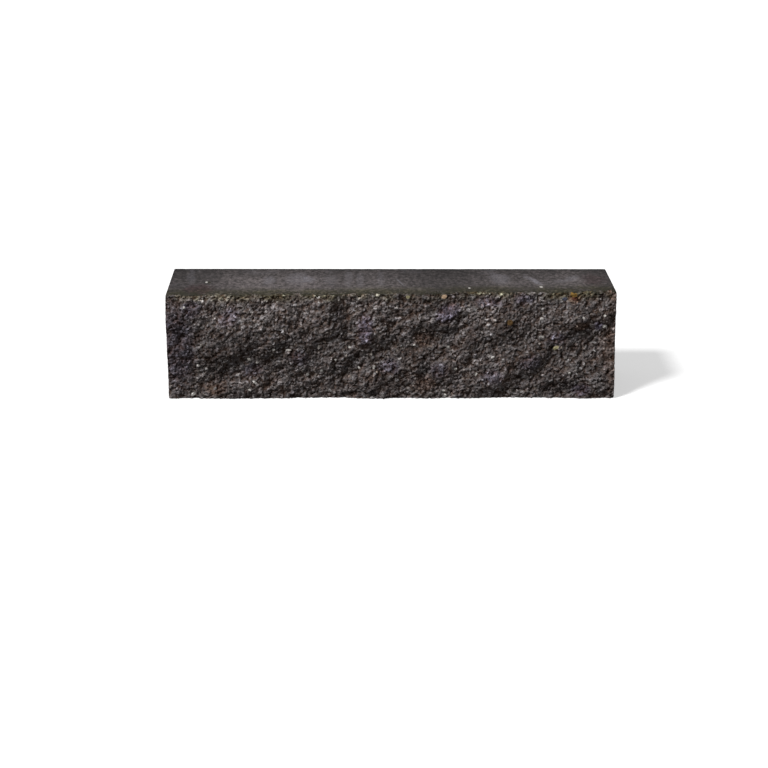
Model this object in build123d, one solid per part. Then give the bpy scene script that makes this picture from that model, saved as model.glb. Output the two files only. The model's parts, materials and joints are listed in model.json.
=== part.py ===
"""A split-face walling block: one solid piece of dense concrete.

The mould formed five of its faces, which are flat, with lightly eased arrises. The long front is
where the unit was broken off its twin, so it is a rough fracture of many small facets. It runs a
little out of true from end to end, and carries shallow scallops, each a long slope that ends in a
short ledge, with finer ridges over them that lean up to the right.

Units are millimetres. +X runs along the block, the split face looks towards -Y and +Z is up. The
origin lies in the bed, half the nominal depth in front of the moulded back.
"""

from build123d import *
from collections import namedtuple
import math
import os
import random

# The moulded body
LENGTH = 600.0
HEIGHT = 146.0
NOMINAL_DEPTH = 150.0
ARRIS_RADIUS = 2.0

# How far each corner of the split face stands proud of the nominal depth, before its scallops
PROUD_TOP_LEFT = -5.0
PROUD_TOP_RIGHT = -28.0
PROUD_BOTTOM_LEFT = -17.0
PROUD_BOTTOM_RIGHT = -17.0

# Scallops of the fracture. Each is placed by shares of the face's length and height. Its crest reaches
# so far to either side, its slope so far above and its ledge so far below. Lean is the crest's angle
# from level, and rise is how far the crest stands proud.
Scallop = namedtuple("Scallop", "along up crest slope ledge lean rise")
SCALLOPS = (
    Scallop(0.015, 0.74, 22, 22, 12, 62, 7),
    Scallop(0.03, 0.46, 20, 20, 12, 50, 7),
    Scallop(0.115, 0.45, 30, 40, 15, 8, 13),
    Scallop(0.16, 0.74, 50, 40, 18, 15, 6),
    Scallop(0.175, 0.08, 26, 22, 10, 10, 6),
    Scallop(0.175, 0.59, 18, 28, 13, 50, 10),
    Scallop(0.23, 0.51, 22, 24, 12, 60, 10),
    Scallop(0.275, 0.68, 36, 36, 18, 20, 6),
    Scallop(0.30, 0.42, 24, 24, 12, 40, 6),
    Scallop(0.36, 0.88, 22, 26, 12, 75, 10),
    Scallop(0.37, 0.66, 20, 26, 12, 60, 8),
    Scallop(0.39, 0.40, 26, 28, 13, 42, 10),
    Scallop(0.45, 0.15, 34, 26, 12, 15, 8),
    Scallop(0.45, 0.58, 26, 26, 15, 45, 8),
    Scallop(0.555, 0.31, 18, 24, 10, 72, 8),
    Scallop(0.565, 0.75, 26, 28, 14, 10, 10),
    Scallop(0.575, 0.96, 22, 24, 12, 45, 7),
    Scallop(0.62, 0.30, 36, 24, 16, 30, 6),
    Scallop(0.625, 0.77, 22, 24, 12, 55, 10),
    Scallop(0.675, 0.52, 20, 22, 11, 45, 6),
    Scallop(0.715, 0.18, 40, 36, 14, 15, 10),
    Scallop(0.745, 0.66, 24, 30, 14, 25, 8),
    Scallop(0.765, 0.40, 18, 24, 10, 65, 6),
    Scallop(0.82, 0.38, 24, 28, 12, 55, 10),
    Scallop(0.88, 0.23, 34, 30, 15, 10, 10),
    Scallop(0.905, 0.73, 26, 38, 14, 33, 14),
    Scallop(0.965, 0.15, 26, 22, 12, 20, 7),
    Scallop(0.975, 0.77, 20, 20, 12, 70, 7),
)

# Broad swell of the fracture under the scallops
SWELL_RISE = 1.2
SWELL_LENGTH = 170.0
SWELL_LEAN = 40.0

# Ridges over the scallops: how far apart they are across, how many times as far along, their angle from
# level, how far the highest stands proud, and the seed that settles them
RIDGE_SPACING = 18.0
RIDGE_STRETCH = 2.2
RIDGE_LEAN = 38.0
RIDGE_RISE = 2.4
RIDGE_SEED = 34

# Facets that the break follows round the aggregate: their usual width, how far a corner stands proud
# or shy, and how far it strays from its even place, as a share of the width
FACET_WIDTH = 8.0
FACET_RELIEF = 1.3
FACET_STRAY = 0.3

BACK_Y = NOMINAL_DEPTH / 2
CLEAR_OF_STOCK = 10.0


def chance(*key):
    """A number from -1 to 1 that is always the same for the same key."""
    return random.Random(str(key)).uniform(-1, 1)


def scallop_rise(scallop, x, z):
    """How far one scallop lifts the face at a point, x from the left end and z from the bed."""
    from_left = x - scallop.along * LENGTH
    from_bed = z - scallop.up * HEIGHT
    lean = math.radians(scallop.lean)
    along_crest = from_left * math.cos(lean) + from_bed * math.sin(lean)
    below_crest = from_left * math.sin(lean) - from_bed * math.cos(lean)
    fall = scallop.ledge if below_crest > 0 else scallop.slope
    return scallop.rise * math.exp(-((along_crest / scallop.crest) ** 2) - (below_crest / fall) ** 2)


def swell(x, z):
    """The broad wave of the fracture, whose crests lean across the face."""
    lean = math.radians(SWELL_LEAN)
    across = x * math.sin(lean) - z * math.cos(lean)
    return SWELL_RISE * math.sin(2 * math.pi * across / SWELL_LENGTH)


def blend(start, end, share):
    """A value between two others that leaves the first and meets the second gently."""
    return start + (end - start) * share * share * (3 - 2 * share)


def ridge_rise(x, z):
    """How far the leaning ridges lift the face at a point: random heights on a slanting grid, blended."""
    lean = math.radians(RIDGE_LEAN)
    along = (x * math.cos(lean) + z * math.sin(lean)) / (RIDGE_SPACING * RIDGE_STRETCH)
    across = (x * math.sin(lean) - z * math.cos(lean)) / RIDGE_SPACING
    i, j = math.floor(along), math.floor(across)
    above = blend(chance(RIDGE_SEED, i, j), chance(RIDGE_SEED, i + 1, j), along - i)
    below = blend(chance(RIDGE_SEED, i, j + 1), chance(RIDGE_SEED, i + 1, j + 1), along - i)
    return RIDGE_RISE * blend(above, below, across - j)


def split_depth(x, z):
    """Depth from the moulded back to the fracture, x from the left end and z from the bed."""
    to_right, to_top = x / LENGTH, z / HEIGHT
    bottom = PROUD_BOTTOM_LEFT + (PROUD_BOTTOM_RIGHT - PROUD_BOTTOM_LEFT) * to_right
    top = PROUD_TOP_LEFT + (PROUD_TOP_RIGHT - PROUD_TOP_LEFT) * to_right
    mean_depth = NOMINAL_DEPTH + bottom + (top - bottom) * to_top
    scallops = sum(scallop_rise(scallop, x, z) for scallop in SCALLOPS)
    return mean_depth + swell(x, z) + scallops + ridge_rise(x, z)


def facet_count(size):
    """How many facets of about the usual width fit along a side."""
    return max(1, round(size / FACET_WIDTH))


def corner_places(row):
    """Even places of one row's corners, from a facet before the left end to a facet past the right.
    Every other row is shifted by half a facet, like the courses of a wall."""
    facets = facet_count(LENGTH)
    width = LENGTH / facets
    shift = row % 2
    within = [(step - shift / 2) * width for step in range(facets + 1 + shift)]
    return [-width, *within, LENGTH + width]


def fracture_rows():
    """Corners of the facets, as rows of points that run along the face, from under it to over it.
    Each corner strays from its even place, except off the outer border of the rows."""
    course = HEIGHT / facet_count(HEIGHT)
    top_row = facet_count(HEIGHT) + 1
    rows = []
    for j in range(top_row + 1):
        places = corner_places(j)
        row = []
        for i, x in enumerate(places):
            z = (j - 0.5) * course
            if 0 < i < len(places) - 1:
                x += FACET_STRAY * FACET_WIDTH * chance("along", i, j)
            if 0 < j < top_row:
                z += FACET_STRAY * course * chance("upward", i, j)
            depth = split_depth(x, z) + FACET_RELIEF * chance("relief", i, j)
            row.append(Vector(x - LENGTH / 2, BACK_Y - depth, z))
        rows.append(row)
    return rows


def polygon(*corners):
    """A flat face with these corners."""
    return Face(Wire.make_polygon(corners))


def facets_between(lower, upper):
    """Triangles that fill the strip between two rows. Going along, each is closed by the next corner of
    whichever row offers the shorter third side."""
    facets = []
    i, j = 0, 0
    while (i, j) != (len(lower) - 1, len(upper) - 1):
        to_lower = abs(lower[i + 1] - upper[j]) if i + 1 < len(lower) else math.inf
        to_upper = abs(upper[j + 1] - lower[i]) if j + 1 < len(upper) else math.inf
        if to_lower < to_upper:
            facets.append(polygon(lower[i], lower[i + 1], upper[j]))
            i += 1
        else:
            facets.append(polygon(lower[i], upper[j + 1], upper[j]))
            j += 1
    return facets


def kept_half():
    """Everything behind the fracture, reaching clear of the moulded stock on the other sides."""
    rows = fracture_rows()
    behind_y = BACK_Y + CLEAR_OF_STOCK

    def behind(point):
        return Vector(point.X, behind_y, point.Z)

    facets = [facet for lower, upper in zip(rows, rows[1:]) for facet in facets_between(lower, upper)]
    bottom, top = rows[0], rows[-1]
    borders = (bottom, top, [row[0] for row in rows], [row[-1] for row in rows])
    sides = [polygon(*border, behind(border[-1]), behind(border[0])) for border in borders]
    back = polygon(behind(bottom[0]), behind(bottom[-1]), behind(top[-1]), behind(top[0]))
    return Solid(Shell([*facets, *sides, back]))


def moulded_stock():
    """The unit and its twin as the mould leaves them, back to front and still whole."""
    stock = Pos(0, BACK_Y, 0) * Box(
        LENGTH, 2 * NOMINAL_DEPTH, HEIGHT, align=(Align.CENTER, Align.MAX, Align.MIN)
    )
    front_edges = stock.faces().sort_by(Axis.Y)[0].edges()
    eased_edges = [edge for edge in stock.edges() if edge not in front_edges]
    return fillet(eased_edges, ARRIS_RADIUS)


os.makedirs("parts", exist_ok=True)
block = moulded_stock() & kept_half()
export_step(block, "parts/split_face_block.step")
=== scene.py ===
# %% [markdown]
# # A split-face walling block, dressed
# The block is one piece of dense concrete. A mould gave it five smooth faces, and the sixth is where it
# was broken off its twin, so that face is a rough fracture full of small stones. The solid comes from
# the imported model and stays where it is. This script lays the broken relief and the finish over it,
# and sets up a pale studio round it.

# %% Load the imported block
import json
import math

import bpy
import numpy as np
from mathutils import Euler, Matrix, Vector

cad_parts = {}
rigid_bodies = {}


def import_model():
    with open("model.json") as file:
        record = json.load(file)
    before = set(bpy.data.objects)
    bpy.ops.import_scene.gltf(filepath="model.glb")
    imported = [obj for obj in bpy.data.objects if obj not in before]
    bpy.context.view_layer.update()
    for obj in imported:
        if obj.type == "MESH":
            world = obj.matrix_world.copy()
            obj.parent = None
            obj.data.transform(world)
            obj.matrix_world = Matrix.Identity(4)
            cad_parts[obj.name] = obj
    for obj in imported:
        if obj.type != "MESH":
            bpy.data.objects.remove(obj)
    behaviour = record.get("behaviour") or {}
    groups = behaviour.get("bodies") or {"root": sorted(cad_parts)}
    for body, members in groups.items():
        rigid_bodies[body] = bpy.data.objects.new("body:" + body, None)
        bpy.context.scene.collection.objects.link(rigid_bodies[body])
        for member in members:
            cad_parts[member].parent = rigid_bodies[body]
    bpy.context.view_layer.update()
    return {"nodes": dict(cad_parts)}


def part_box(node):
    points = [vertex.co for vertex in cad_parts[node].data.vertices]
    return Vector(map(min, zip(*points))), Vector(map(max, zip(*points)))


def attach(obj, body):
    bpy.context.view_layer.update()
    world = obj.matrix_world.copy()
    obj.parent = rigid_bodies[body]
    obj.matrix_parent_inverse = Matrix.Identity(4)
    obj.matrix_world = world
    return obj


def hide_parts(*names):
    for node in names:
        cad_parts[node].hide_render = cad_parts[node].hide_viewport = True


for leftover in list(bpy.data.objects):
    bpy.data.objects.remove(leftover)
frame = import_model()
solid_block = frame["nodes"]["split_face_block"]
low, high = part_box("split_face_block")
MM = 0.001
HALF_LENGTH = (high.x - low.x) / 2
HEIGHT = high.z
BACK_Y = high.y
print("block", [round(side / MM, 1) for side in high - low], "mm")

# %% [markdown]
# ## Camera
# The photograph looks down on the block from a little left of its middle with a long lens. The view was
# worked out from the block's corners, so the camera is given its place and its three turns as numbers.

# %% Camera
SENSOR_WIDTH = 36.0
LENS = 92.0
CAMERA_AT = Vector((-0.056, -2.574, 0.823))
LOOK_DOWN = math.radians(17.7)
TURN_RIGHT = math.radians(1.04)
ROLL = math.radians(0.29)

bpy.ops.object.camera_add(location=CAMERA_AT)
camera = bpy.context.object
camera.name = "photo_camera"
aim = Euler((math.pi / 2 - LOOK_DOWN, 0, -TURN_RIGHT)).to_matrix().to_4x4()
camera.matrix_world = Matrix.Translation(CAMERA_AT) @ aim @ Matrix.Rotation(ROLL, 4, "Z")
camera.data.sensor_width = SENSOR_WIDTH
camera.data.lens = LENS
camera.data.dof.use_dof = False
bpy.context.scene.camera = camera
print("camera", camera.name, "lens", LENS, "mm")

# %% [markdown]
# ## Helpers for node trees
# Geometry nodes and shader nodes are both wired the same way, so a few short helpers serve them all: one
# adds a node and feeds its sockets, others do one sum each, and the last ones turn, squeeze, shake or
# measure a place.

# %% Node helpers
def add(tree, kind, feeds=None, **options):
    """Adds a node, sets its options, and feeds its sockets with values or with other nodes' sockets."""
    node = tree.nodes.new(kind)
    for name, value in options.items():
        setattr(node, name, value)
    for key, value in (feeds or {}).items():
        socket = node.inputs[key]
        if isinstance(value, bpy.types.NodeSocket):
            tree.links.new(value, socket)
        else:
            socket.default_value = value
    return node


def calc(tree, operation, *terms, clamp=False):
    """One sum of the Math node."""
    feeds = dict(enumerate(terms))
    return add(tree, "ShaderNodeMath", feeds, operation=operation, use_clamp=clamp).outputs[0]


def product(tree, first, *others):
    """Several values multiplied together."""
    for value in others:
        first = calc(tree, "MULTIPLY", first, value)
    return first


def vector_calc(tree, operation, *terms, output="Vector", **feeds):
    """One sum of the Vector Math node."""
    feeds = {**dict(enumerate(terms)), **feeds}
    return add(tree, "ShaderNodeVectorMath", feeds, operation=operation).outputs[output]


def fade(tree, value, start, end, at_start=0.0, at_end=1.0, smooth=True):
    """Maps a value from one range to another, and holds it there outside."""
    feeds = {"Value": value, "From Min": start, "From Max": end, "To Min": at_start, "To Max": at_end}
    kind = "SMOOTHSTEP" if smooth else "LINEAR"
    return add(tree, "ShaderNodeMapRange", feeds, interpolation_type=kind, clamp=True).outputs[0]


def parts_of(tree, vector):
    """The three components of a vector."""
    return add(tree, "ShaderNodeSeparateXYZ", {0: vector}).outputs


def noise_value(tree, place, width, detail=2.0, roughness=0.5):
    """Cloudy noise from 0 to 1. Little of it goes near either end."""
    feeds = {"Vector": place, "Scale": 1 / width, "Detail": detail, "Roughness": roughness}
    return add(tree, "ShaderNodeTexNoise", feeds).outputs[0]


def centred(tree, colour):
    """A random colour as a vector whose three parts run from -0.5 to 0.5."""
    return vector_calc(tree, "SUBTRACT", colour, (0.5, 0.5, 0.5))


# %% Helpers for places
def rotated(tree, place, angle, axis="Z_AXIS"):
    """A place turned about one axis."""
    feeds = {"Vector": place, "Angle": angle}
    return add(tree, "ShaderNodeVectorRotate", feeds, rotation_type=axis).outputs[0]


def squeezed(tree, place, stretch):
    """A place squeezed along x, so that what is drawn from it comes out longer that way."""
    return vector_calc(tree, "MULTIPLY", place, (1 / stretch, 1, 1))


def wobbled(tree, place, width, amount):
    """A place shaken by some amount, in waves of some width, so that no edge drawn from it is straight."""
    noise = add(tree, "ShaderNodeTexNoise", {"Vector": place, "Scale": 1 / width})
    shake = centred(tree, noise.outputs["Color"])
    return vector_calc(tree, "ADD", place, vector_calc(tree, "SCALE", shake, Scale=amount))


def face_plane(tree, position):
    """A point's place on the broken face, as x along the block and y up it."""
    x, _, z = parts_of(tree, position)
    return add(tree, "ShaderNodeCombineXYZ", {0: x, 1: z}).outputs[0]


def near_top(tree, position, depth):
    """Whether a point lies within some depth of the top: 1 there, and 0 from twice that depth."""
    return fade(tree, parts_of(tree, position)[2], HEIGHT - 2 * depth, HEIGHT - depth)


def from_flats(tree, position):
    """How far a point lies from the nearest end, from the nearer of bed and top, and from the back."""
    x, y, z = parts_of(tree, position)
    above_middle = calc(tree, "SUBTRACT", z, HEIGHT / 2)
    from_end = calc(tree, "SUBTRACT", HALF_LENGTH, calc(tree, "ABSOLUTE", x))
    from_bed = calc(tree, "SUBTRACT", HEIGHT / 2, calc(tree, "ABSOLUTE", above_middle))
    return from_end, from_bed, calc(tree, "SUBTRACT", BACK_Y, y)


def middle_of(tree, first, second, third):
    """The middle one of three values."""
    nearer = calc(tree, "MINIMUM", first, second)
    farther = calc(tree, "MAXIMUM", first, second)
    return calc(tree, "MAXIMUM", nearer, calc(tree, "MINIMUM", farther, third))


# %% [markdown]
# ## The block's clay
# The relief needs points about as close as a pixel of the photograph. Subdividing the solid's long
# triangles would give slivers, so its copy is remeshed with voxels, as a sculptor does before carving:
# every face gets the same small squares, and the moulded arrises stay.

# %% Copy the solid and remesh it
VOXEL = 1.0 * MM
WELD = 0.01 * MM


def select_only(thing):
    """Leaves one object selected and active."""
    bpy.ops.object.select_all(action="DESELECT")
    thing.select_set(True)
    bpy.context.view_layer.objects.active = thing


def copy_of_solid(name):
    """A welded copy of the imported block, with no tie to it."""
    select_only(solid_block)
    bpy.ops.object.duplicate()
    copy = bpy.context.object
    copy.name = name
    copy.data.name = name
    for key in list(copy.keys()):
        del copy[key]
    bpy.ops.object.mode_set(mode="EDIT")
    bpy.ops.mesh.select_all(action="SELECT")
    bpy.ops.mesh.remove_doubles(threshold=WELD)
    bpy.ops.object.mode_set(mode="OBJECT")
    return copy


block = copy_of_solid("dressed_block")
block.data.remesh_voxel_size = VOXEL
bpy.ops.object.voxel_remesh()
print("clay", len(block.data.polygons), "squares")

# %% [markdown]
# ## A guide for the fracture
# The relief belongs to the broken face alone. A second copy keeps only the faces that look forward, and
# each point of the clay will ask how far it is from that sheet.

# %% Cut the guide sheet
FORWARD = -0.1


def fracture_guide():
    """The broken face alone, as an open sheet."""
    sheet = copy_of_solid("fracture_guide")
    bpy.ops.object.mode_set(mode="EDIT")
    bpy.ops.mesh.select_all(action="DESELECT")
    bpy.ops.object.mode_set(mode="OBJECT")
    for face in sheet.data.polygons:
        face.select = face.normal.y > FORWARD
    bpy.ops.object.mode_set(mode="EDIT")
    bpy.ops.mesh.select_mode(type="FACE")
    bpy.ops.mesh.delete(type="FACE")
    bpy.ops.object.mode_set(mode="OBJECT")
    return sheet


guide = fracture_guide()
print("guide", len(guide.data.polygons), "faces")

# %% [markdown]
# ## The broken relief
# Concrete breaks round some stones and through others. So the face is a crowd of grains, each at its own
# height and leaning its own way, over a coarser waviness with ridges that lean up to the right. Voronoi
# cells give the grains: within a cell the height is a tilted, slightly domed plane. The grains push the
# face straight out or in, so the five flat faces stay flat.

# %% Grains and waves
RIDGE_LEAN = math.radians(38)
RIDGE_STRETCH = 2.2
GRAIN_STRETCH = 1.15
GRAIN_SOFTNESS = 0.12
GRAIN_DOME = 1.2
GRAIN_SIZES = (
    # width, rise, tilt, seed
    (6.2 * MM, 0.40 * MM, 0.28, 1.7),
    (4.2 * MM, 0.45 * MM, 0.50, 5.3),
    (3.0 * MM, 0.42 * MM, 0.60, 9.1),
)
WAVE_TURN = 0.6
WAVE_SIZES = (
    # width, rise, detail, roughness
    (7 * MM, 3.5 * MM, 3, 0.6),
    (13 * MM, 2.5 * MM, 0, 0.55),
)


def grains(tree, plane, width, rise, tilt, seed):
    """Height of one size of grain: each cell has its own level and its own lean, and a low dome."""
    place = vector_calc(tree, "ADD", rotated(tree, plane, seed), (seed, seed / 2, 0))
    feeds = {"Vector": place, "Scale": 1 / width, "Smoothness": GRAIN_SOFTNESS}
    cells = add(tree, "ShaderNodeTexVoronoi", feeds, voronoi_dimensions="2D", feature="SMOOTH_F1").outputs
    chance = centred(tree, cells["Color"])
    from_centre = vector_calc(tree, "SUBTRACT", place, cells["Position"])
    lean = vector_calc(tree, "MULTIPLY", chance, (2 * tilt, 2 * tilt, 0))
    slope = vector_calc(tree, "DOT_PRODUCT", from_centre, lean, output="Value")
    level = calc(tree, "MULTIPLY", parts_of(tree, chance)[2], 2 * rise)
    dome = calc(tree, "MULTIPLY", calc(tree, "POWER", cells["Distance"], 2), -GRAIN_DOME * rise)
    return calc(tree, "ADD", calc(tree, "ADD", slope, level), dome)


def waves(tree, plane, width, rise, detail, roughness):
    """Height of a soft waviness with no grain to it."""
    feeds = {"Vector": rotated(tree, plane, WAVE_TURN), "Scale": 1 / width, "Detail": detail,
             "Roughness": roughness}
    noise = add(tree, "ShaderNodeTexNoise", feeds, noise_dimensions="2D")
    return calc(tree, "MULTIPLY", calc(tree, "SUBTRACT", noise.outputs[0], 0.5), rise)


print("grains", [round(size[0] / MM, 1) for size in GRAIN_SIZES], "mm wide")

# %% [markdown]
# ## Worn arrises
# Handling knocks crumbs off the arrises, most where the thin lip of the fracture meets a moulded face.
# A point belongs to an arris when it is close to two faces at once, so the middle one of its distances
# from the nearest end, bed or top, and front or back is small. There it moves in by chance. Behind the lip
# of the top the skin has also come away in ragged bites, which show the broken concrete under it.

# %% Wear of the arrises
WEAR_REACH = 5 * MM
WEAR_DEPTH = 0.2 * MM
LIP_WEAR = 12.0
KNOCK_WIDTH = 9 * MM
KNOCKED = (0.42, 0.72)


def wear_shift(tree, position, from_fracture):
    """How far a point near an arris has been knocked in, as a vector."""
    x, _, z = parts_of(tree, position)
    from_end, from_bed, from_back = from_flats(tree, position)
    from_arris = middle_of(tree, from_end, from_bed, calc(tree, "MINIMUM", from_back, from_fracture))
    knocks = fade(tree, noise_value(tree, position, KNOCK_WIDTH, 3), *KNOCKED)
    at_front = fade(tree, from_fracture, 0.0, WEAR_REACH, 1.0, 0.0)
    top_lip = product(tree, at_front, near_top(tree, position, WEAR_REACH))
    harder = fade(tree, top_lip, 0.0, 1.0, 1.0, LIP_WEAR, smooth=False)
    depth = product(tree, fade(tree, from_arris, 0.0, WEAR_REACH, 1.0, 0.0), knocks, harder, -WEAR_DEPTH)

    at_end = fade(tree, from_end, 0.0, WEAR_REACH, 1.0, 0.0)
    at_bed_or_top = fade(tree, from_bed, 0.0, WEAR_REACH, 1.0, 0.0)
    at_back = fade(tree, from_back, 0.0, WEAR_REACH, 1.0, 0.0)
    upward = calc(tree, "SIGN", calc(tree, "SUBTRACT", z, HEIGHT / 2))
    outward = add(tree, "ShaderNodeCombineXYZ", {
        0: product(tree, at_end, calc(tree, "SIGN", x)),
        1: at_back,
        2: product(tree, at_bed_or_top, upward),
    }).outputs[0]
    return vector_calc(tree, "SCALE", outward, Scale=depth)


print("worn", round(WEAR_DEPTH / MM, 1), "mm deep, and", round(WEAR_DEPTH * LIP_WEAR / MM, 1), "at the lip")

# %% Bites behind the lip
CHIP_WIDTH = 12 * MM
CHIP_REACH = 12 * MM
CHIP_DEPTH = 0.8 * MM
CHIP_EDGE = 1.5 * MM
CHIP_SKIN = 2 * MM
CHIPPED = (0.44, 0.60)


def chipped_lip(tree, position, from_fracture):
    """Where the top is broken away behind its lip, in ragged bites: 1 in a bite and 0 outside."""
    reach = fade(tree, noise_value(tree, position, CHIP_WIDTH, 3, 0.6), *CHIPPED, 0.0, CHIP_REACH)
    past = calc(tree, "SUBTRACT", from_fracture, reach)
    return product(tree, fade(tree, past, -CHIP_EDGE, 0.0, 1.0, 0.0), near_top(tree, position, CHIP_SKIN))


print("bites reach", round(CHIP_REACH / MM), "mm back at most")

# %% [markdown]
# ## Carving
# One tree of geometry nodes adds the grains and waves up to a height for each point of the clay, and moves
# the point by it. Before that it notes three things on the point that the finishes need further on, since
# the distance from the sheet is only true while the clay is still uncarved.

# %% Carve the block
RELIEF_LEVEL = 0.8 * MM
RELIEF_REACH = 9 * MM
FRACTURE_SKIN = (0.6 * MM, 1.6 * MM)
BEND = (9 * MM, 4 * MM)
PEAK = 1.6 * MM
PIT = -1.9 * MM
CRUMBLE_HEIGHT = 1.5 * MM
LEAST_BITE = 0.1


def relief_height(tree, position):
    """Height of the broken relief over the sheet, at each point of the clay."""
    along_ridges = rotated(tree, face_plane(tree, position), -RIDGE_LEAN)
    leaning = squeezed(tree, along_ridges, RIDGE_STRETCH)
    short, long = (waves(tree, leaning, *size) for size in WAVE_SIZES)
    height = calc(tree, "ADD", calc(tree, "ADD", short, long), RELIEF_LEVEL)
    bent = wobbled(tree, squeezed(tree, along_ridges, GRAIN_STRETCH), *BEND)
    for size in GRAIN_SIZES:
        height = calc(tree, "ADD", height, grains(tree, bent, *size))
    return height


def with_notes(tree, geometry, notes):
    """The geometry with a value noted on each point under each name."""
    for name, value in notes.items():
        store = add(tree, "GeometryNodeStoreNamedAttribute", {"Geometry": geometry, "Name": name},
                    data_type="FLOAT", domain="POINT")
        tree.links.new(value, store.inputs["Value"])
        geometry = store.outputs[0]
    return geometry


def relief_tree():
    """Geometry nodes that carve the broken face and note on each point whether it belongs to the
    fracture, how deep in a hollow it is, and how far behind the fracture it lies."""
    tree = bpy.data.node_groups.new("split_face_relief", "GeometryNodeTree")
    tree.interface.new_socket("Geometry", in_out="INPUT", socket_type="NodeSocketGeometry")
    tree.interface.new_socket("Geometry", in_out="OUTPUT", socket_type="NodeSocketGeometry")
    clay = add(tree, "NodeGroupInput").outputs[0]
    position = add(tree, "GeometryNodeInputPosition").outputs[0]
    sheet = add(tree, "GeometryNodeObjectInfo", {"Object": guide}).outputs["Geometry"]
    distance = add(tree, "GeometryNodeProximity", {0: sheet}, target_element="FACES").outputs["Distance"]
    height = relief_height(tree, position)
    chips = chipped_lip(tree, position, distance)

    marked = with_notes(tree, clay, {
        "fracture": calc(tree, "MAXIMUM", chips, fade(tree, distance, *FRACTURE_SKIN, 1.0, 0.0)),
        "hollow": fade(tree, height, PEAK, PIT),
        "behind": distance,
    })
    push = product(tree, height, fade(tree, distance, 0.0, RELIEF_REACH, 1.0, 0.0), -1.0)
    crumble = fade(tree, height, -CRUMBLE_HEIGHT, CRUMBLE_HEIGHT, 1.0, LEAST_BITE)
    bite = product(tree, chips, crumble, -CHIP_DEPTH)
    shift = add(tree, "ShaderNodeCombineXYZ", {1: push, 2: bite}).outputs[0]
    shift = vector_calc(tree, "ADD", shift, wear_shift(tree, position, distance))
    carved = add(tree, "GeometryNodeSetPosition", {"Geometry": marked, "Offset": shift}).outputs[0]
    add(tree, "NodeGroupOutput", {0: carved})
    return tree


def apply_all(thing):
    """Applies the object's modifiers in order."""
    select_only(thing)
    for modifier in list(thing.modifiers):
        bpy.ops.object.modifier_apply(modifier=modifier.name)


relief = block.modifiers.new("relief", "NODES")
relief.node_group = relief_tree()
apply_all(block)
print("carved", [attribute.name for attribute in block.data.attributes])

# %% [markdown]
# ## Single stones
# A few stones are pale or bright enough to tell this very block from another. Their places are read off
# the photograph, in millimetres right of the middle and up from the bed. Each is bedded here as a
# low dome, so that it stands out of the hollow it may have landed in, and it gets its colour further on.

# %% Bed the single stones
STONE_DOME = 1.0 * MM
BEHIND_FRONT = 5 * MM
BELOW_TOP = 1 * MM
FACE_STONES = (
    # x, z, wide, tall, lean, colour
    (-275, 130, 2.4, 2.0, 0, "white"),
    (-267, 6, 4.4, 2.6, 35, "bright"),
    (-259, 48, 2.4, 2.2, 0, "bright"),
    (-255, 137, 3.8, 3.2, 0, "grey"),
    (-243, 138, 7.0, 2.2, 58, "pale"),
    (-237, 15, 3.2, 2.2, 45, "pale"),
    (-191, 14, 2.2, 1.8, 0, "white"),
    (-191, 57, 3.2, 2.0, -30, "white"),
    (-184, 24, 4.2, 2.0, -35, "bright"),
    (-180, 52, 2.2, 2.0, 0, "white"),
    (-158, 72, 2.4, 2.0, 0, "white"),
    (-138, 70, 4.4, 1.8, 0, "white"),
    (-113, 34, 2.6, 2.2, 0, "white"),
    (-98, 143, 2.6, 2.2, 0, "bright"),
    (-94, 40, 2.4, 2.0, 0, "white"),
    (-75, 57, 2.2, 1.8, 0, "white"),
    (-57, 74, 2.8, 2.0, 0, "white"),
    (-44, 44, 3.2, 2.0, -45, "white"),
    (-24, 45, 2.8, 2.2, 60, "white"),
    (21, 142, 3.6, 2.4, 0, "sandy"),
    (30, 75, 2.4, 2.0, 0, "white"),
    (69, 142, 4.4, 3.6, 0, "tan"),
    (70, 11, 2.4, 2.0, 0, "white"),
    (72, 4, 2.8, 2.8, 0, "bright"),
    (75, 73, 2.4, 2.2, 0, "white"),
    (85, 43, 2.6, 2.4, 0, "white"),
    (113, 35, 3.4, 2.0, 60, "white"),
    (135, 59, 2.6, 2.2, 0, "bright"),
    (157, 107, 5.2, 4.8, 0, "rust"),
    (200, 86, 4.0, 2.0, 0, "white"),
    (200, 110, 2.8, 2.4, 0, "bright"),
    (220, 70, 4.8, 3.0, 30, "sandy"),
    (230, 138, 4.4, 3.0, 0, "slate"),
    (238, 37, 2.4, 2.0, 0, "white"),
    (242, 143, 5.6, 3.8, 0, "ochre"),
    (243, 138, 4.4, 3.0, 0, "red"),
    (255, 113, 2.4, 2.0, 0, "white"),
    (284, 115, 2.2, 2.0, 0, "white"),
    (285, 99, 4.0, 3.0, -35, "bright"),
)


def bed_stones():
    """Draws the points inside each stone's outline out to a low dome, and gives back how many moved.
    The flat top and whatever lies well behind the front stay as they are."""
    mesh = block.data
    points = np.zeros(3 * len(mesh.vertices))
    mesh.vertices.foreach_get("co", points)
    points = points.reshape(-1, 3)
    moved = 0
    for x, z, wide, tall, lean, _ in FACE_STONES:
        right, up = points[:, 0] - x * MM, points[:, 2] - z * MM
        turn = math.radians(lean)
        along = right * math.cos(turn) + up * math.sin(turn)
        across = up * math.cos(turn) - right * math.sin(turn)
        spread = (along / (wide * MM)) ** 2 + (across / (tall * MM)) ** 2
        inside = np.flatnonzero((spread < 1) & (points[:, 2] < HEIGHT - BELOW_TOP))
        if len(inside):
            inside = inside[points[inside, 1] < points[inside, 1].min() + BEHIND_FRONT]
            dome = STONE_DOME * np.sqrt(1 - spread[inside])
            points[inside, 1] = points[inside, 1].mean() - dome
            moved += len(inside)
    mesh.vertices.foreach_set("co", points.ravel())
    mesh.update()
    return moved


print("stones", len(FACE_STONES), "points moved", bed_stones())

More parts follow.
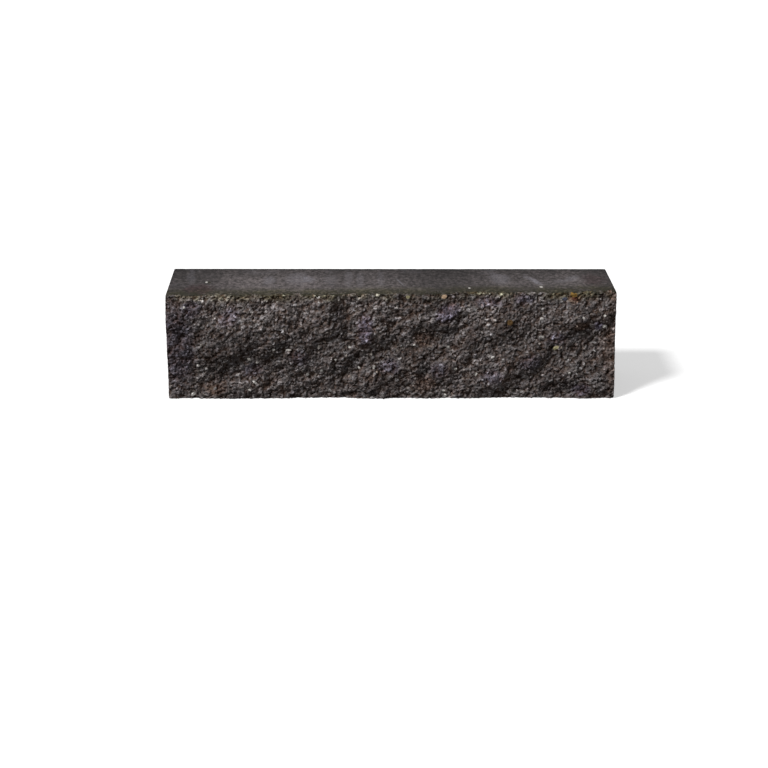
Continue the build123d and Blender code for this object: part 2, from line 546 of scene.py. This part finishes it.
# %% [markdown]
# ## Thinning
# The flat faces don't need a square for each millimetre, so the mesh is thinned by collapsing the edges
# that change its shape least. Hardly any goes from the fracture. Shading is smooth by angle, and large
# flat faces get the last word on the normals beside them, so that they look flat.

# %% Thin the flat faces and smooth the shading
TRIANGLE_LIMIT = 196000
SHARP_ANGLE = math.radians(45)


def triangle_count(thing):
    """How many triangles a mesh comes to."""
    return sum(len(face.vertices) - 2 for face in thing.data.polygons)


if triangle_count(block) > TRIANGLE_LIMIT:
    thin = block.modifiers.new("thin", "DECIMATE")
    thin.ratio = TRIANGLE_LIMIT / triangle_count(block)
    apply_all(block)
select_only(block)
bpy.ops.object.shade_smooth_by_angle(angle=SHARP_ANGLE)
weigh = block.modifiers.new("weigh", "WEIGHTED_NORMAL")
weigh.keep_sharp = True
apply_all(block)
bpy.data.objects.remove(guide)
print("thinned to", triangle_count(block), "triangles")

# %% [markdown]
# ## Effects that both finishes share
# The broken face and the moulded faces are the same concrete, so two effects show on both: grains of
# aggregate, and soft spots of tint or shade. Each is a node group, built once, and placed in each material
# with its own values. The finishes also share two bounds that hold most of a noise, and one drift that
# keeps spots from looking drawn.

# %% Shader groups
SOCKETS = {"value": "NodeSocketFloat", "vector": "NodeSocketVector"}


def shader_group(name, inputs, outputs):
    """A new shader group with its sockets, and the sockets of its input node by name."""
    tree = bpy.data.node_groups.new(name, "ShaderNodeTree")
    for socket, kind in inputs.items():
        tree.interface.new_socket(socket, in_out="INPUT", socket_type=SOCKETS[kind])
    for socket, kind in outputs.items():
        tree.interface.new_socket(socket, in_out="OUTPUT", socket_type=SOCKETS[kind])
    return tree, add(tree, "NodeGroupInput").outputs


def add_group(tree, group, feeds):
    """Places a group in a material, and gives back its outputs."""
    return add(tree, "ShaderNodeGroup", feeds, node_tree=group).outputs


def soft_spot_group():
    """A round or oval mask at one place: full at its centre, gone at its reach. A low Edge is crisp."""
    tree, given = shader_group(
        "soft_spot",
        {"Vector": "vector", "Centre": "vector", "Turn": "vector", "Reach": "vector", "Edge": "value"},
        {"Mask": "value"},
    )
    feeds = {"Vector": given["Vector"], "Location": given["Centre"], "Rotation": given["Turn"],
             "Scale": given["Reach"]}
    local = add(tree, "ShaderNodeMapping", feeds, vector_type="TEXTURE").outputs[0]
    ball = add(tree, "ShaderNodeTexGradient", {0: local}, gradient_type="SPHERICAL").outputs["Fac"]
    add(tree, "NodeGroupOutput", {0: fade(tree, ball, 0.0, given["Edge"])})
    return tree


def aggregate_group():
    """Cells of small stones: a chance for each stone, another for its hue, and its height, which has a
    level and a lean of its own."""
    tree, given = shader_group(
        "aggregate",
        {"Vector": "vector", "Width": "value", "Rise": "value", "Tilt": "value"},
        {"Chance": "value", "Hue": "value", "Height": "value"},
    )
    scale = calc(tree, "DIVIDE", 1.0, given["Width"])
    cells = add(tree, "ShaderNodeTexVoronoi", {"Vector": given["Vector"], "Scale": scale}).outputs
    chances = parts_of(tree, cells["Color"])
    from_centre = vector_calc(tree, "SUBTRACT", given["Vector"], cells["Position"])
    lean = centred(tree, cells["Color"])
    slope = vector_calc(tree, "DOT_PRODUCT", from_centre, lean, output="Value")
    level = calc(tree, "MULTIPLY", calc(tree, "SUBTRACT", chances[2], 0.5), given["Rise"])
    height = calc(tree, "MULTIPLY_ADD", slope, given["Tilt"], level)
    add(tree, "NodeGroupOutput", {0: chances[0], 1: chances[1], 2: height})
    return tree


BROAD = (0.3, 0.7)
NARROW = (0.35, 0.65)
DRIFT = (14 * MM, 9 * MM)

soft_spot = soft_spot_group()
aggregate = aggregate_group()
print("groups", soft_spot.name, aggregate.name)

# %% Short helpers for the finishes
def ramp(tree, value, stops):
    """A colour for each value from 0 to 1, from a few stops."""
    node = add(tree, "ShaderNodeValToRGB", {0: value})
    elements = node.color_ramp.elements
    while len(elements) < len(stops):
        elements.new(1.0)
    for element, (at, colour) in zip(elements, stops):
        element.position = at
        element.color = (*colour, 1)
    return node.outputs["Color"]


def mixed(tree, mask, first, second, how="MIX"):
    """Two colours mixed by a mask. Sockets 6 and 7 of a Mix node take its colours."""
    feeds = {0: mask, 6: first, 7: second}
    return add(tree, "ShaderNodeMix", feeds, data_type="RGBA", blend_type=how).outputs[2]


def tinted(tree, colour, mask, tint):
    """A colour multiplied by a tint where the mask is 1."""
    return mixed(tree, mask, colour, tint, "MULTIPLY")


def attribute(tree, name):
    """A value that the relief left on the mesh."""
    return add(tree, "ShaderNodeAttribute", attribute_name=name).outputs["Fac"]


def slanted(tree, place, stretch):
    """A place squeezed along the lean of the ridges, so that what is drawn from it leans the same way."""
    return squeezed(tree, rotated(tree, place, RIDGE_LEAN, "Y_AXIS"), stretch)


def finish_material(name):
    """A new material, its tree, its shader, and a point's place on the object."""
    material = bpy.data.materials.new(name)
    material.use_nodes = True
    tree = material.node_tree
    shader = tree.nodes["Principled BSDF"]
    return material, tree, shader, add(tree, "ShaderNodeTexCoord").outputs["Object"]


def dress(tree, shader, colour, height, roughness, gloss):
    """Feeds a finish's colour and bump to its shader, and sets how rough and glossy it is."""
    tree.links.new(colour, shader.inputs["Base Color"])
    bump = add(tree, "ShaderNodeBump", {"Height": height, "Distance": 1.0})
    tree.links.new(bump.outputs[0], shader.inputs["Normal"])
    shader.inputs["Roughness"].default_value = roughness
    shader.inputs["Specular IOR Level"].default_value = gloss


# %% [markdown]
# ## Places on the two faces that show
# Spots of brightness on the fracture are listed: partly its own darker and paler patches, partly painted
# shade and painted light of its relief. So are tints that a maker would know this very block by. On the
# broken face a place is so many millimetres right of the middle and up from the bed. On the top it is
# right of the middle and back from the origin.

# %% Spots
FAR = 1.0
SPOT_EDGE = 0.6
SPOT_HEIGHT = 3 * MM


def spot_on_front(tree, place, x, z, wide, tall, lean, edge=SPOT_EDGE):
    """Mask of a spot on the broken face. Lean is in degrees from level."""
    feeds = {"Vector": place, "Centre": (x * MM, 0, z * MM), "Turn": (0, -math.radians(lean), 0),
             "Reach": (wide * MM, FAR, tall * MM), "Edge": edge}
    return add_group(tree, soft_spot, feeds)["Mask"]


def spot_on_top(tree, place, x, y, wide, deep, turn):
    """Mask of a spot on the top. Turn is in degrees from the block's length."""
    feeds = {"Vector": place, "Centre": (x * MM, y * MM, HEIGHT), "Turn": (0, 0, math.radians(turn)),
             "Reach": (wide * MM, deep * MM, SPOT_HEIGHT), "Edge": SPOT_EDGE}
    return add_group(tree, soft_spot, feeds)["Mask"]


def spots(tree, place, draw, rows):
    """Several spots of one kind added up, each with its strength last."""
    total = 0.0
    for *where, strength in rows:
        total = calc(tree, "MULTIPLY_ADD", draw(tree, place, *where), strength, total)
    return total


# Partly darker and paler patches of the concrete itself, partly painted shade and painted light of its
# relief.
FACE_TONE_AND_PAINTED_SHADING = (
    # x, z, wide, tall, lean, steps of brightness
    (-285, 105, 16, 24, 0, -0.5),
    (-277, 65, 16, 20, 0, -0.5),
    (-235, 52, 46, 20, 5, -0.8),
    (-190, 78, 32, 15, 50, -0.6),
    (-153, 70, 34, 12, 55, -0.5),
    (-100, 80, 15, 12, 0, -0.4),
    (-77, 115, 15, 44, 0, -0.5),
    (-60, 56, 34, 13, 42, -0.6),
    (-70, 8, 18, 12, 0, -0.3),
    (-20, 72, 32, 17, 20, -0.2),
    (42, 98, 34, 17, 0, -0.6),
    (40, 43, 11, 24, 0, -1.0),
    (84, 108, 34, 13, 50, -0.6),
    (150, 88, 34, 16, 30, -0.8),
    (168, 38, 12, 24, 0, -0.4),
    (198, 54, 34, 13, 45, -0.5),
    (228, 20, 38, 15, 5, -0.8),
    (247, 97, 34, 15, 35, -0.7),
    (295, 12, 12, 18, 0, -0.5),
    (293, 110, 12, 20, 0, -0.5),
    (-223, 110, 20, 20, 0, 0.6),
    (-165, 118, 80, 34, 0, 0.3),
    (-193, 27, 20, 20, 0, 0.8),
    (-140, 22, 18, 16, 0, 0.6),
    (-112, 40, 24, 14, 0, 0.4),
    (-103, 105, 18, 18, 0, 0.2),
    (-37, 112, 15, 52, 0, 0.8),
    (-35, 38, 24, 18, 0, 0.7),
    (12, 50, 24, 16, 40, -0.2),
    (75, 12, 20, 16, 0, 0.7),
    (80, 55, 18, 18, 0, 0.4),
    (85, 130, 20, 17, 0, 0.4),
    (128, 118, 18, 30, 0, 0.4),
    (135, 47, 46, 24, 0, 0.5),
    (195, 110, 20, 18, 0, 0.4),
    (150, 24, 46, 12, 35, 0.7),
    (100, 46, 24, 12, 30, 0.5),
    (283, 38, 16, 20, 0, -0.5),
    (0, 150, 420, 70, 0, 0.5),
    (-244, 143, 62, 14, 0, 1.1),
    (30, 143, 40, 12, 0, -1.2),
    (95, 143, 30, 12, 0, -0.8),
    (150, 143, 40, 12, 0, -0.1),
    (205, 143, 40, 12, 0, -0.5),
    (262, 143, 40, 12, 0, -0.4),
)
FACE_LILAC = (
    # x, z, wide, tall, lean, strength
    (-265, 128, 16, 16, 0, 0.5),
    (-216, 117, 20, 14, 20, 0.5),
    (-186, 41, 18, 14, 20, 0.5),
    (-125, 59, 18, 14, 0, 0.5),
    (-36, 98, 14, 26, 0, 0.8),
    (-3, 45, 18, 14, 0, 0.6),
    (63, 41, 18, 14, 0, 0.5),
    (74, 120, 22, 14, 30, 0.8),
    (130, 136, 24, 12, 0, 0.6),
    (135, 32, 20, 14, 0, 0.5),
    (176, 137, 18, 10, 0, 0.6),
    (185, 52, 20, 14, 20, 0.5),
    (221, 83, 16, 14, 0, 0.5),
    (256, 13, 16, 12, 0, 0.7),
    (276, 101, 9, 9, 0, 1.0),
    (-286, 75, 30, 80, 0, 0.5),
)
FACE_BROWN = (
    # x, z, wide, tall, lean, strength
    (-237, 14, 18, 12, 0, 0.8),
    (42, 83, 16, 14, 0, 0.6),
    (43, 22, 22, 16, 20, 0.6),
    (242, 138, 12, 8, 0, 0.9),
    (251, 101, 14, 10, 0, 0.8),
    (296, 143, 12, 14, 0, 0.6),
    (296, 70, 22, 80, 0, 0.4),
)
STONE_COLOURS = {
    "ochre": (0.26, 0.155, 0.045),
    "rust": (0.12, 0.072, 0.032),
    "tan": (0.55, 0.39, 0.26),
    "sandy": (0.50, 0.45, 0.27),
    "red": (0.16, 0.07, 0.05),
    "slate": (0.10, 0.105, 0.14),
    "grey": (0.13, 0.12, 0.12),
    "pale": (0.27, 0.25, 0.24),
    "white": (0.62, 0.59, 0.55),
    "bright": (0.82, 0.78, 0.74),
    "dark": (0.025, 0.022, 0.014),
}
print("spots", len(FACE_TONE_AND_PAINTED_SHADING) + len(FACE_LILAC) + len(FACE_BROWN))

# %% [markdown]
# ## The broken concrete
# Broken anthracite concrete is a dark matrix full of sand and crushed stone, mostly nearly as dark, with
# few pale pieces. So each small cell takes its colour from a ramp by chance, a finer sand breaks it up,
# and the hollows are darker and warmer, partly for dust and partly as painted shade. The cells also lift
# the bump, so that colour and relief belong together. It is matt all over.

# %% Split concrete
SHADE_STEP = 1.5
STONE_WOBBLE = (3 * MM, 1.2 * MM)
STONE_EDGE = 0.35
STONE_WIDTH = 3.4 * MM
STONE_RISE = 0.8 * MM
STONE_TILT = 1.0
SAND_WIDTH = 1.8 * MM
SAND_RISE = 0.6 * MM
GRIT_WIDTH = 5 * MM
GRIT_RISE = 2.5 * MM
STONE_TONES = (
    (0.00, (0.077, 0.063, 0.060)),
    (0.30, (0.104, 0.089, 0.086)),
    (0.65, (0.136, 0.122, 0.122)),
    (0.88, (0.183, 0.167, 0.169)),
    (0.97, (0.250, 0.234, 0.238)),
    (1.00, (0.400, 0.382, 0.382)),
)
STONE_HUES = (
    (0.00, (0.98, 0.98, 1.02)),
    (0.15, (1.00, 1.00, 1.00)),
    (0.92, (1.00, 1.00, 0.98)),
    (1.00, (1.04, 1.00, 0.90)),
)
LILAC = (1.00, 0.98, 1.30, 1)
BROWN = (1.22, 0.95, 0.78, 1)
OLIVE = (0.98, 1.00, 0.68, 1)
DUST_AND_SHADE_TINT = (1.00, 0.78, 0.65, 1)
SAND_LEVELS = (0.58, 1.42)
GRIT_SPREAD = (0.34, 0.66)
GRIT_LEVELS = (0.75, 1.25)
HOLLOW_DUST_AND_SHADE_LEVELS = (1.15, 0.58)
SPECKLE = (0.7, 1.2)
MOSS_BAND = 14 * MM
MOSS_WIDTH = 30 * MM


def split_concrete():
    """The finish of the fracture."""
    material, tree, shader, place = finish_material("split_concrete")
    bent = wobbled(tree, place, *STONE_WOBBLE)
    drifting = wobbled(tree, place, *DRIFT)
    stones = add_group(tree, aggregate, {"Vector": slanted(tree, bent, GRAIN_STRETCH),
                                         "Width": STONE_WIDTH, "Rise": STONE_RISE, "Tilt": STONE_TILT})
    sand = add_group(tree, aggregate, {"Vector": place, "Width": SAND_WIDTH, "Rise": SAND_RISE})
    grit = noise_value(tree, slanted(tree, place, RIDGE_STRETCH), GRIT_WIDTH, detail=1)
    deep = calc(tree, "POWER", attribute(tree, "hollow"), 2)
    level = product(
        tree,
        fade(tree, sand["Chance"], 0.0, 1.0, *SAND_LEVELS, smooth=False),
        fade(tree, grit, *GRIT_SPREAD, *GRIT_LEVELS),
        # Darker in the hollows: partly dust, partly painted shade.
        fade(tree, deep, 0.0, 1.0, *HOLLOW_DUST_AND_SHADE_LEVELS, smooth=False),
        # The listed spots: partly the concrete's own tone, partly painted shade and painted light.
        calc(tree, "POWER", SHADE_STEP, spots(tree, drifting, spot_on_front, FACE_TONE_AND_PAINTED_SHADING)),
    )
    hues = ramp(tree, stones["Hue"], STONE_HUES)
    colour = tinted(tree, ramp(tree, stones["Chance"], STONE_TONES), 1.0, hues)
    colour = vector_calc(tree, "SCALE", colour, Scale=level)
    # Warmer in the hollows: partly dust, partly painted shade.
    colour = tinted(tree, colour, deep, DUST_AND_SHADE_TINT)
    for rows, tint in ((FACE_LILAC, LILAC), (FACE_BROWN, BROWN)):
        colour = tinted(tree, colour, spots(tree, drifting, spot_on_front, rows), tint)
    lip = fade(tree, parts_of(tree, place)[2], HEIGHT - MOSS_BAND, HEIGHT)
    patchy = fade(tree, noise_value(tree, place, MOSS_WIDTH), *NARROW)
    colour = tinted(tree, colour, product(tree, lip, patchy), OLIVE)

    speckle = fade(tree, sand["Chance"], 0.0, 1.0, *SPECKLE)
    for *where, kind in FACE_STONES:
        mottled = vector_calc(tree, "SCALE", STONE_COLOURS[kind], Scale=speckle)
        colour = mixed(tree, spot_on_front(tree, bent, *where, STONE_EDGE), colour, mottled)
    height = calc(tree, "ADD", stones["Height"], sand["Height"])
    height = calc(tree, "MULTIPLY_ADD", grit, GRIT_RISE, height)
    dress(tree, shader, colour, height, roughness=0.9, gloss=0.0)
    return material


broken_finish = split_concrete()
print("finish", broken_finish.name, "of", len(broken_finish.node_tree.nodes), "nodes")

# %% [markdown]
# ## The moulded concrete
# Against the mould the cement rises to a smooth grey skin, in which the sand hardly shows. It has faint
# drag marks, pinholes where air was caught, pale lime bloom in clouds, an olive film with dark crumbs where
# damp stands along the broken lip of the top, and a darker band along its arrises.

# %% Marks of the top
TOP_SHADES = (
    # x, y, wide, deep, turn, doublings of brightness
    (-270, 10, 52, 130, 0, -0.75),
    (-150, 10, 105, 130, 0, 0.45),
    (-35, 10, 40, 130, 0, 0.20),
    (62, 10, 60, 130, 0, -0.70),
    (118, 10, 34, 130, 0, -0.30),
    (242, 10, 26, 130, 0, 0.25),
    (290, 10, 34, 130, 0, -0.5),
    (0, -42, 100, 30, 0, 0.25),
    (252, -42, 26, 26, 0, -0.3),
)
BLOOM_SPOTS = (
    # x, y, wide, deep, turn, strength
    (-273, 30, 8, 60, 4, 0.5),
    (-165, 12, 12, 30, 0, 1.0),
    (-128, 20, 22, 46, 0, 0.9),
    (-112, 12, 11, 26, 0, 1.1),
    (-82, 14, 14, 40, 0, 0.5),
    (-58, 18, 7, 60, 0, 0.6),
    (-42, 14, 7, 60, 0, 0.6),
    (-14, 16, 7, 60, 0, 0.5),
    (148, 20, 20, 44, 0, 0.9),
    (190, 18, 7, 34, 16, 1.2),
    (198, 0, 6, 26, 16, 1.4),
    (228, 8, 11, 18, 0, 0.6),
    (246, 20, 12, 24, -30, 0.9),
)
TOP_SPECKS = (
    # x, y, wide, deep, turn, colour
    (-250, 0, 2.4, 5, 0, "white"),
    (-246, -2, 3.0, 6, 0, "dark"),
    (104, -30, 2.2, 4, 0, "white"),
    (201, -24, 3.0, 6, 0, "white"),
)
RED_SPOTS = (
    # x, y, wide, deep, turn, strength
    (-258, -38, 26, 36, 0, 1.4),
    (276, 14, 22, 44, 0, 0.7),
)
# x, y, wide, deep, turn
SCRATCH = (12, 0, 30, 1.8, -76)
print("marks of the top", len(TOP_SHADES) + len(BLOOM_SPOTS) + len(TOP_SPECKS) + len(RED_SPOTS) + 1)

# %% Light and dark of the moulded skin
# A noise is given by its width, detail and roughness, and levels by the least and the most.
DRAG = (1, 0.6, 0.35)
SKIN_CRUMBS = (5 * MM, 3, 0.65)
SKIN_CRUMB_LEVELS = (0.60, 1.40)
CLOUDS = (60 * MM, 3)
CLOUD_LEVELS = (0.88, 1.14)
STREAKS = (4 * MM, 2)
STREAK_LEVELS = (0.86, 1.16)
SKIN_SAND = {"Width": 2.8 * MM, "Rise": 0.10 * MM, "Tilt": 0.1}
SKIN_SAND_LEVELS = (0.65, 1.35)
ARRIS_BAND = 8 * MM
ARRIS_LEVEL = 0.70
PAINTED_SHADE_TO_BACK = -0.85
REAR_BAND = 18 * MM
PAINTED_SHADE_AT_REAR = -0.7
LIP_DARKENING_BAND = 48 * MM
LIP_DARKENING = -0.60


def top_shade(tree, place, drifting, behind_lip):
    """Doublings of brightness on the top: the listed patches, and falls to the back and to the lip."""
    y = parts_of(tree, place)[1]
    shade = spots(tree, drifting, spot_on_top, TOP_SHADES)
    # Painted shade: the top grows darker towards the back, and more so along the rear arris.
    shade = calc(tree, "ADD", shade, fade(tree, y, 0.0, BACK_Y, 0.0, PAINTED_SHADE_TO_BACK))
    shade = calc(tree, "ADD", shade, fade(tree, y, BACK_Y - REAR_BAND, BACK_Y, 0.0, PAINTED_SHADE_AT_REAR))
    # Darker towards the lip of the top.
    return calc(tree, "ADD", shade, fade(tree, behind_lip, 0.0, LIP_DARKENING_BAND, LIP_DARKENING, 0.0))


def skin_level(tree, place, dragged, sand, shade):
    """How bright the skin is at each point, as a share of the plain cement."""
    crumbs = noise_value(tree, dragged, *SKIN_CRUMBS)
    clouds = noise_value(tree, place, *CLOUDS)
    streaks = noise_value(tree, vector_calc(tree, "MULTIPLY", dragged, DRAG), *STREAKS)
    from_arris = middle_of(tree, *from_flats(tree, place))
    return product(
        tree,
        fade(tree, sand, 0.0, 1.0, *SKIN_SAND_LEVELS, smooth=False),
        fade(tree, crumbs, *NARROW, *SKIN_CRUMB_LEVELS),
        fade(tree, clouds, *BROAD, *CLOUD_LEVELS),
        fade(tree, streaks, *BROAD, *STREAK_LEVELS),
        fade(tree, from_arris, 0.0, ARRIS_BAND, ARRIS_LEVEL, 1.0),
        calc(tree, "POWER", 2.0, shade),
    )


print("darker along the arrises, over", round(ARRIS_BAND / MM), "mm")

# %% Bloom, film and pinholes
BLOOM = (0.226, 0.212, 0.232, 1)
BLOOM_STRENGTH = 0.65
BLOOM_GRIT = (3 * MM, 3, 0.7)
LEAST_BLOOM = 0.2
HAZE = (38 * MM, 4, 0.6)
HAZE_SPREAD = (0.55, 0.80)
HAZE_MOST = 0.5
SCRATCH_STRENGTH = 0.5
FILM_WIDTH = 26 * MM
FILM_SPREAD = (0.3, 0.62)
LEAST_FILM = 0.3
FILM_REACH = (8 * MM, 46 * MM)
LIP_DIRT = (0.024, 0.022, 0.013, 1)
LIP_CRUMB_WIDTH = 4 * MM
LIP_CRUMB_SPREAD = (0.46, 0.52)
LIP_CRUMB_REACH = (4 * MM, 36 * MM)
LIP_CRUMB_MOST = 0.85
PORE_SPACING = 13 * MM
PORE_DEPTH = 0.8 * MM
PORE_SHADE = 0.35
PORE_FROM = 0.3
PORE_LARGEST = 0.09
PORE_RIM = 0.03


def bloomed(tree, place, dragged, drifting, colour):
    """A colour under lime bloom, which lies in clouds and in spots by hand, and with one thin scratch."""
    clouds = fade(tree, noise_value(tree, place, *HAZE), *HAZE_SPREAD, 0.0, HAZE_MOST)
    haze = calc(tree, "ADD", spots(tree, drifting, spot_on_top, BLOOM_SPOTS), clouds)
    grit = fade(tree, noise_value(tree, dragged, *BLOOM_GRIT), *NARROW, LEAST_BLOOM, 1.0)
    colour = mixed(tree, product(tree, haze, grit, BLOOM_STRENGTH), colour, BLOOM)
    scratch = product(tree, spot_on_top(tree, place, *SCRATCH), SCRATCH_STRENGTH)
    return mixed(tree, scratch, colour, BLOOM)


def dirtied(tree, place, dragged, behind_lip, on_top, colour):
    """A colour under the olive film and the dark crumbs that lie behind the lip of the top."""
    patchy = fade(tree, noise_value(tree, place, FILM_WIDTH), *FILM_SPREAD, LEAST_FILM, 1.0)
    film = product(tree, on_top, patchy, fade(tree, behind_lip, *FILM_REACH, 1.0, 0.0))
    colour = tinted(tree, colour, film, OLIVE)
    crumbs = fade(tree, noise_value(tree, dragged, LIP_CRUMB_WIDTH, 0), *LIP_CRUMB_SPREAD)
    crumbs = product(tree, crumbs, on_top, fade(tree, behind_lip, *LIP_CRUMB_REACH, LIP_CRUMB_MOST, 0.0))
    return mixed(tree, crumbs, colour, LIP_DIRT)


def pinholes(tree, place):
    """Mask of the pinholes, 1 inside. Each cell has one at its middle, of its own size, or none."""
    cells = add(tree, "ShaderNodeTexVoronoi", {"Vector": place, "Scale": 1 / PORE_SPACING}).outputs
    size = fade(tree, parts_of(tree, cells["Color"])[0], PORE_FROM, 1.0, 0.0, PORE_LARGEST)
    past_rim = calc(tree, "SUBTRACT", cells["Distance"], size)
    return fade(tree, past_rim, -PORE_RIM, 0.0, 1.0, 0.0)


print("a pinhole or none for each", round(PORE_SPACING / MM), "mm")

# %% Moulded concrete
CEMENT = (0.084, 0.073, 0.073)
RED = (0.90, 0.72, 0.73, 1)
TOP_SKIN = 3 * MM
STRAY_WIDTH = 10 * MM
STRAY = 3 * MM


def moulded_concrete():
    """The finish of the five moulded faces."""
    material, tree, shader, place = finish_material("moulded_concrete")
    drifting = wobbled(tree, place, *DRIFT)
    dragged = vector_calc(tree, "MULTIPLY", place, DRAG)
    on_top = near_top(tree, place, TOP_SKIN)
    stray = fade(tree, noise_value(tree, place, STRAY_WIDTH), *BROAD, -STRAY, STRAY)
    behind_lip = calc(tree, "ADD", attribute(tree, "behind"), stray)
    sand = add_group(tree, aggregate, {"Vector": place, **SKIN_SAND})
    shade = product(tree, top_shade(tree, place, drifting, behind_lip), on_top)
    level = skin_level(tree, place, dragged, sand["Chance"], shade)
    colour = vector_calc(tree, "SCALE", CEMENT, Scale=level)
    colour = bloomed(tree, place, dragged, drifting, colour)
    colour = tinted(tree, colour, spots(tree, drifting, spot_on_top, RED_SPOTS), RED)
    colour = dirtied(tree, place, dragged, behind_lip, on_top, colour)
    for *where, kind in TOP_SPECKS:
        colour = mixed(tree, spot_on_top(tree, place, *where), colour, (*STONE_COLOURS[kind], 1))

    pore = pinholes(tree, place)
    colour = vector_calc(tree, "SCALE", colour, Scale=fade(tree, pore, 0.0, 1.0, 1.0, PORE_SHADE))
    height = calc(tree, "MULTIPLY_ADD", pore, -PORE_DEPTH, sand["Height"])
    dress(tree, shader, colour, height, roughness=0.85, gloss=0.1)
    return material


moulded_finish = moulded_concrete()
print("finish", moulded_finish.name, "of", len(moulded_finish.node_tree.nodes), "nodes")

# %% [markdown]
# ## Which face gets which finish
# The relief noted on each point how far it belongs to the fracture. A face takes the broken finish where
# all its corners do, so the two finishes meet along the very arris.

# %% Give the faces their finish
HALF_WAY = 0.5


def paint_faces():
    """Gives the broken finish to the faces of the fracture and the moulded finish to all others, and
    gives back how many are broken."""
    mesh = block.data
    mesh.materials.clear()
    mesh.materials.append(moulded_finish)
    mesh.materials.append(broken_finish)
    on_fracture = np.zeros(len(mesh.vertices), dtype=np.float32)
    mesh.attributes["fracture"].data.foreach_get("value", on_fracture)
    corners = np.zeros(len(mesh.loops), dtype=np.int32)
    mesh.loops.foreach_get("vertex_index", corners)
    starts = np.zeros(len(mesh.polygons), dtype=np.int32)
    mesh.polygons.foreach_get("loop_start", starts)
    broken = np.minimum.reduceat(on_fracture[corners], starts) > HALF_WAY
    mesh.polygons.foreach_set("material_index", broken.astype(np.int32))
    mesh.update()
    return int(broken.sum())


print("broken faces", paint_faces(), "of", len(block.data.polygons))
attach(block, "root")
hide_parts("split_face_block")

# %% [markdown]
# ## Studio
# The floor is a pale sheet. The camera sees it white, with the block's soft shadow on it, while the block
# is lit by a duller one, so that its dark underside edges stay dark. One broad sun from the upper left
# in front rakes the fracture, and a dim even sky fills the hollows.

# %% Floor, sky and key light
FLOOR_SIZE = 40
FLOOR_GREY = 0.3
FLOOR_SEEN = 0.8
FLOOR_GLOW = 0.5
SKY_LEVEL = 0.23
KEY_FROM = Vector((-1.7, -1.5, 2.2))
KEY_SOFTNESS = math.radians(12)
KEY_LEVEL = 2.8


def seen_directly(tree):
    """Whether a ray shows the stage itself: from the camera, or by way of a gloss or a glass."""
    path = add(tree, "ShaderNodeLightPath").outputs
    seen = calc(tree, "MAXIMUM", path["Is Camera Ray"], path["Is Glossy Ray"])
    return calc(tree, "MAXIMUM", seen, path["Is Transmission Ray"])


def pale_floor():
    """White to the camera, with shadows, and duller for the light that it throws back."""
    material = bpy.data.materials.new("pale_floor")
    material.use_nodes = True
    tree = material.node_tree
    tree.nodes.clear()
    dull = add(tree, "ShaderNodeBsdfDiffuse", {"Color": (FLOOR_GREY, FLOOR_GREY, FLOOR_GREY, 1)}).outputs[0]
    pale = add(tree, "ShaderNodeBsdfDiffuse", {"Color": (FLOOR_SEEN, FLOOR_SEEN, FLOOR_SEEN, 1)}).outputs[0]
    glow = add(tree, "ShaderNodeEmission", {"Strength": FLOOR_GLOW}).outputs[0]
    bright = add(tree, "ShaderNodeAddShader", {0: pale, 1: glow}).outputs[0]
    surface = add(tree, "ShaderNodeMixShader", {0: seen_directly(tree), 1: dull, 2: bright}).outputs[0]
    add(tree, "ShaderNodeOutputMaterial", {"Surface": surface})
    return material


bpy.ops.mesh.primitive_plane_add(size=FLOOR_SIZE)
floor = bpy.context.object
floor.name = "floor"
floor.data.materials.append(pale_floor())

sky = bpy.data.worlds.new("studio")
bpy.context.scene.world = sky
sky.use_nodes = True
sky.node_tree.nodes.clear()
level = fade(sky.node_tree, seen_directly(sky.node_tree), 0.0, 1.0, SKY_LEVEL, 1.0, smooth=False)
dome = add(sky.node_tree, "ShaderNodeBackground", {"Color": (1, 1, 1, 1), "Strength": level}).outputs[0]
add(sky.node_tree, "ShaderNodeOutputWorld", {"Surface": dome})

bpy.ops.object.light_add(type="SUN", location=KEY_FROM)
key = bpy.context.object
key.name = "key_light"
key.data.angle = KEY_SOFTNESS
key.data.energy = KEY_LEVEL
key.rotation_mode = "QUATERNION"
key.rotation_quaternion = (-KEY_FROM).to_track_quat("-Z", "Y")
bpy.context.scene.view_settings.view_transform = "Standard"
print("key light at", [round(c, 1) for c in KEY_FROM])

# %% [markdown]
# ## Bringing the scene up to date
# The view layer is updated once more. The dressed block has to keep inside the imported one's box.

# %% Update the view layer
bpy.context.view_layer.update()
